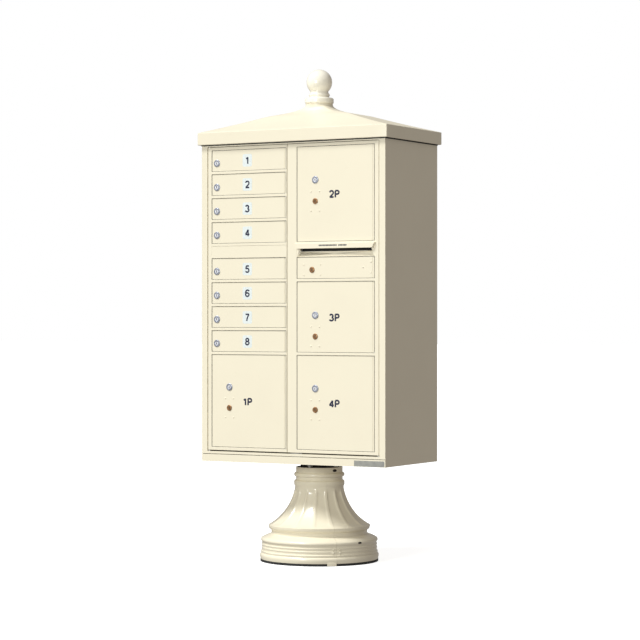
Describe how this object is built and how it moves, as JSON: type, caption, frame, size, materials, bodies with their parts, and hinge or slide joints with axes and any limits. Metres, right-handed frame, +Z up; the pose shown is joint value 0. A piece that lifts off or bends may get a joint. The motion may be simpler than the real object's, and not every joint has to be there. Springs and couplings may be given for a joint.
{
  "type": "cluster mailbox unit",
  "caption": "Pedestal-mounted cluster mailbox: hinged customer doors and parcel lockers with cam locks behind two master doors, an outgoing mail slot, hipped roof cap with ball finial.",
  "frame": {"origin": "on the ground, under the centre of the pedestal", "axes": "+Z up, front of the unit faces -Y, +X to the viewer's right"},
  "size_m": [0.8004, 0.4416, 1.8225],
  "materials": {
    "cream_paint": "satin powder coat",
    "bare_aluminium": "mill finish",
    "pedestal_steel": "matte dark primer",
    "zinc_hardware": "zinc plated",
    "stainless": "ground",
    "lock_chrome": "satin nickel",
    "lock_brass": "satin brass",
    "rubber_pad": "matte"
  },
  "bodies": {
    "cabinet": {"base_pad": "rubber_pad", "pedestal": "pedestal_steel", "cabinet_bolts": "zinc_hardware", "pillar_cover_right": "cream_paint", "pillar_cover_left": "cream_paint", "cabinet_case": "cream_paint", "front_collar": "cream_paint", "master_hinge_pins": "stainless", "compartment_rack": "bare_aluminium", "compartment_shelves": "bare_aluminium", "roof_cap": "cream_paint", "roof_finial": "cream_paint"},
    "left_master_door": {"left_master_frame": "cream_paint", "left_hinge_rod": "stainless"},
    "right_master_door": {"right_master_frame": "cream_paint", "right_hinge_rod": "stainless", "outgoing_mail_hood": "cream_paint", "arrow_lock_panel": "cream_paint", "arrow_lock": "lock_brass"},
    "arrow_plug": {"arrow_plug": "lock_brass"},
    "tenant_door_1": {"tenant_door_1": "cream_paint", "tenant_lock_1": "lock_chrome"},
    "tenant_plug_1": {"tenant_plug_1": "lock_chrome"},
    "tenant_door_2": {"tenant_door_2": "cream_paint", "tenant_lock_2": "lock_chrome"},
    "tenant_plug_2": {"tenant_plug_2": "lock_chrome"},
    "tenant_door_3": {"tenant_door_3": "cream_paint", "tenant_lock_3": "lock_chrome"},
    "tenant_plug_3": {"tenant_plug_3": "lock_chrome"},
    "tenant_door_4": {"tenant_door_4": "cream_paint", "tenant_lock_4": "lock_chrome"},
    "tenant_plug_4": {"tenant_plug_4": "lock_chrome"},
    "tenant_door_5": {"tenant_door_5": "cream_paint", "tenant_lock_5": "lock_chrome"},
    "tenant_plug_5": {"tenant_plug_5": "lock_chrome"},
    "tenant_door_6": {"tenant_door_6": "cream_paint", "tenant_lock_6": "lock_chrome"},
    "tenant_plug_6": {"tenant_plug_6": "lock_chrome"},
    "tenant_door_7": {"tenant_door_7": "cream_paint", "tenant_lock_7": "lock_chrome"},
    "tenant_plug_7": {"tenant_plug_7": "lock_chrome"},
    "tenant_door_8": {"tenant_door_8": "cream_paint", "tenant_lock_8": "lock_chrome"},
    "tenant_plug_8": {"tenant_plug_8": "lock_chrome"},
    "parcel_door_1": {"parcel_door_1": "cream_paint", "parcel_locks_1": "lock_chrome"},
    "parcel_customer_plug_1": {"parcel_customer_plug_1": "lock_chrome"},
    "parcel_carrier_plug_1": {"parcel_carrier_plug_1": "lock_brass"},
    "parcel_door_2": {"parcel_door_2": "cream_paint", "parcel_locks_2": "lock_chrome"},
    "parcel_customer_plug_2": {"parcel_customer_plug_2": "lock_chrome"},
    "parcel_carrier_plug_2": {"parcel_carrier_plug_2": "lock_brass"},
    "parcel_door_3": {"parcel_door_3": "cream_paint", "parcel_locks_3": "lock_chrome"},
    "parcel_customer_plug_3": {"parcel_customer_plug_3": "lock_chrome"},
    "parcel_carrier_plug_3": {"parcel_carrier_plug_3": "lock_brass"},
    "parcel_door_4": {"parcel_door_4": "cream_paint", "parcel_locks_4": "lock_chrome"},
    "parcel_customer_plug_4": {"parcel_customer_plug_4": "lock_chrome"},
    "parcel_carrier_plug_4": {"parcel_carrier_plug_4": "lock_brass"}
  },
  "joints": [
    {"name": "left_master_hinge", "type": "hinge", "parent": "cabinet", "child": "left_master_door", "pos_m": [-0.3572, -0.198, 0.9711], "axis": [0, 0, -1], "range_deg": [0, 95]},
    {"name": "right_master_hinge", "type": "hinge", "parent": "cabinet", "child": "right_master_door", "pos_m": [0.3572, -0.198, 0.9711], "axis": [0, 0, 1], "range_deg": [0, 95]},
    {"name": "tenant_hinge_1", "type": "hinge", "parent": "left_master_door", "child": "tenant_door_1", "pos_m": [-0.0278, -0.1978, 1.48155], "axis": [0, 0, 1], "range_deg": [0, 100]},
    {"name": "tenant_plug_1_turn", "type": "hinge", "parent": "tenant_door_1", "child": "tenant_plug_1", "pos_m": [-0.3224, -0.203, 1.47285], "axis": [0, -1, 0], "range_deg": [0, 90]},
    {"name": "tenant_hinge_2", "type": "hinge", "parent": "left_master_door", "child": "tenant_door_2", "pos_m": [-0.0278, -0.1978, 1.39265], "axis": [0, 0, 1], "range_deg": [0, 100]},
    {"name": "tenant_plug_2_turn", "type": "hinge", "parent": "tenant_door_2", "child": "tenant_plug_2", "pos_m": [-0.3224, -0.203, 1.38395], "axis": [0, -1, 0], "range_deg": [0, 90]},
    {"name": "tenant_hinge_3", "type": "hinge", "parent": "left_master_door", "child": "tenant_door_3", "pos_m": [-0.0278, -0.1978, 1.30375], "axis": [0, 0, 1], "range_deg": [0, 100]},
    {"name": "tenant_plug_3_turn", "type": "hinge", "parent": "tenant_door_3", "child": "tenant_plug_3", "pos_m": [-0.3224, -0.203, 1.29505], "axis": [0, -1, 0], "range_deg": [0, 90]},
    {"name": "tenant_hinge_4", "type": "hinge", "parent": "left_master_door", "child": "tenant_door_4", "pos_m": [-0.0278, -0.1978, 1.21485], "axis": [0, 0, 1], "range_deg": [0, 100]},
    {"name": "tenant_plug_4_turn", "type": "hinge", "parent": "tenant_door_4", "child": "tenant_plug_4", "pos_m": [-0.3224, -0.203, 1.20615], "axis": [0, -1, 0], "range_deg": [0, 90]},
    {"name": "tenant_hinge_5", "type": "hinge", "parent": "left_master_door", "child": "tenant_door_5", "pos_m": [-0.0278, -0.1978, 1.08105], "axis": [0, 0, 1], "range_deg": [0, 100]},
    {"name": "tenant_plug_5_turn", "type": "hinge", "parent": "tenant_door_5", "child": "tenant_plug_5", "pos_m": [-0.3224, -0.203, 1.07235], "axis": [0, -1, 0], "range_deg": [0, 90]},
    {"name": "tenant_hinge_6", "type": "hinge", "parent": "left_master_door", "child": "tenant_door_6", "pos_m": [-0.0278, -0.1978, 0.99215], "axis": [0, 0, 1], "range_deg": [0, 100]},
    {"name": "tenant_plug_6_turn", "type": "hinge", "parent": "tenant_door_6", "child": "tenant_plug_6", "pos_m": [-0.3224, -0.203, 0.98345], "axis": [0, -1, 0], "range_deg": [0, 90]},
    {"name": "tenant_hinge_7", "type": "hinge", "parent": "left_master_door", "child": "tenant_door_7", "pos_m": [-0.0278, -0.1978, 0.90325], "axis": [0, 0, 1], "range_deg": [0, 100]},
    {"name": "tenant_plug_7_turn", "type": "hinge", "parent": "tenant_door_7", "child": "tenant_plug_7", "pos_m": [-0.3224, -0.203, 0.89455], "axis": [0, -1, 0], "range_deg": [0, 90]},
    {"name": "tenant_hinge_8", "type": "hinge", "parent": "left_master_door", "child": "tenant_door_8", "pos_m": [-0.0278, -0.1978, 0.81435], "axis": [0, 0, 1], "range_deg": [0, 100]},
    {"name": "tenant_plug_8_turn", "type": "hinge", "parent": "tenant_door_8", "child": "tenant_plug_8", "pos_m": [-0.3224, -0.203, 0.80565], "axis": [0, -1, 0], "range_deg": [0, 90]},
    {"name": "parcel_hinge_1", "type": "hinge", "parent": "left_master_door", "child": "parcel_door_1", "pos_m": [-0.0278, -0.1978, 0.59345], "axis": [0, 0, 1], "range_deg": [0, 100]},
    {"name": "parcel_customer_plug_1_turn", "type": "hinge", "parent": "parcel_door_1", "child": "parcel_customer_plug_1", "pos_m": [-0.2679, -0.203, 0.64445], "axis": [0, -1, 0], "range_deg": [0, 90]},
    {"name": "parcel_carrier_plug_1_turn", "type": "hinge", "parent": "parcel_door_1", "child": "parcel_carrier_plug_1", "pos_m": [-0.2679, -0.203, 0.56745], "axis": [0, -1, 0], "range_deg": [0, 90]},
    {"name": "parcel_hinge_2", "type": "hinge", "parent": "right_master_door", "child": "parcel_door_2", "pos_m": [0.339, -0.1978, 1.3482], "axis": [0, 0, 1], "range_deg": [0, 100]},
    {"name": "parcel_customer_plug_2_turn", "type": "hinge", "parent": "parcel_door_2", "child": "parcel_customer_plug_2", "pos_m": [0.0989, -0.203, 1.3992], "axis": [0, -1, 0], "range_deg": [0, 90]},
    {"name": "parcel_carrier_plug_2_turn", "type": "hinge", "parent": "parcel_door_2", "child": "parcel_carrier_plug_2", "pos_m": [0.0989, -0.203, 1.3222], "axis": [0, -1, 0], "range_deg": [0, 90]},
    {"name": "parcel_hinge_3", "type": "hinge", "parent": "right_master_door", "child": "parcel_door_3", "pos_m": [0.339, -0.1978, 0.90325], "axis": [0, 0, 1], "range_deg": [0, 100]},
    {"name": "parcel_customer_plug_3_turn", "type": "hinge", "parent": "parcel_door_3", "child": "parcel_customer_plug_3", "pos_m": [0.0989, -0.203, 0.90965], "axis": [0, -1, 0], "range_deg": [0, 90]},
    {"name": "parcel_carrier_plug_3_turn", "type": "hinge", "parent": "parcel_door_3", "child": "parcel_carrier_plug_3", "pos_m": [0.0989, -0.203, 0.83265], "axis": [0, -1, 0], "range_deg": [0, 90]},
    {"name": "parcel_hinge_4", "type": "hinge", "parent": "right_master_door", "child": "parcel_door_4", "pos_m": [0.339, -0.1978, 0.59345], "axis": [0, 0, 1], "range_deg": [0, 100]},
    {"name": "parcel_customer_plug_4_turn", "type": "hinge", "parent": "parcel_door_4", "child": "parcel_customer_plug_4", "pos_m": [0.0989, -0.203, 0.64445], "axis": [0, -1, 0], "range_deg": [0, 90]},
    {"name": "parcel_carrier_plug_4_turn", "type": "hinge", "parent": "parcel_door_4", "child": "parcel_carrier_plug_4", "pos_m": [0.0989, -0.203, 0.56745], "axis": [0, -1, 0], "range_deg": [0, 90]},
    {"name": "arrow_plug_turn", "type": "hinge", "parent": "right_master_door", "child": "arrow_plug", "pos_m": [0.0857, -0.203, 1.07405], "axis": [0, 1, 0], "range_deg": [0, 90]}
  ]
}
